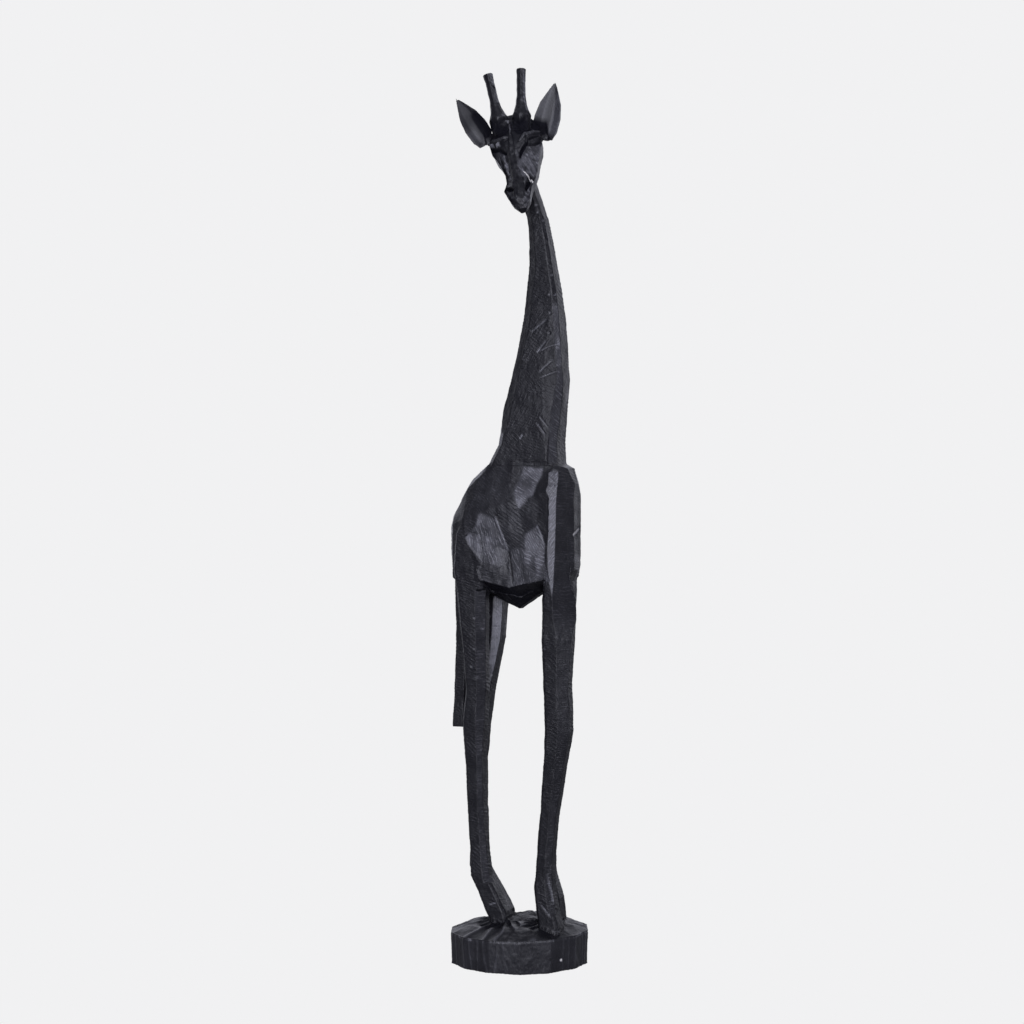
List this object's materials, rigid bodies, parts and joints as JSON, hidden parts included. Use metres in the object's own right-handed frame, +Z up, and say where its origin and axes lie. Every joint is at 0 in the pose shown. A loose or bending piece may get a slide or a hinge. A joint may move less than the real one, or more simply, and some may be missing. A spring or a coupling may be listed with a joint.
{
  "type": "carved giraffe statue",
  "caption": "Tall slender carved wooden giraffe on an oval plinth, faceted and stained black, with its head turned to one side.",
  "frame": {"origin": "centre of the plinth's flat underside", "axes": "+Z up, the body faces -Y, the giraffe's right side is at -X"},
  "size_m": [0.1448, 0.159, 0.996],
  "materials": {
    "stained_wood": "black stain, satin, tool marks",
    "dowel_wood": "plain turned hardwood"
  },
  "bodies": {
    "root": {"plinth": "stained_wood", "right_front_leg": "stained_wood", "left_front_leg": "stained_wood", "right_hind_leg": "stained_wood", "left_hind_leg": "stained_wood", "torso": "stained_wood", "neck": "stained_wood", "head": "stained_wood", "right_horn": "stained_wood", "left_horn": "stained_wood", "right_ear": "stained_wood", "left_ear": "stained_wood", "tail": "stained_wood", "leg_dowels": "dowel_wood", "foot_dowels": "dowel_wood", "neck_dowels": "dowel_wood", "head_dowel": "dowel_wood"}
  },
  "joints": []
}
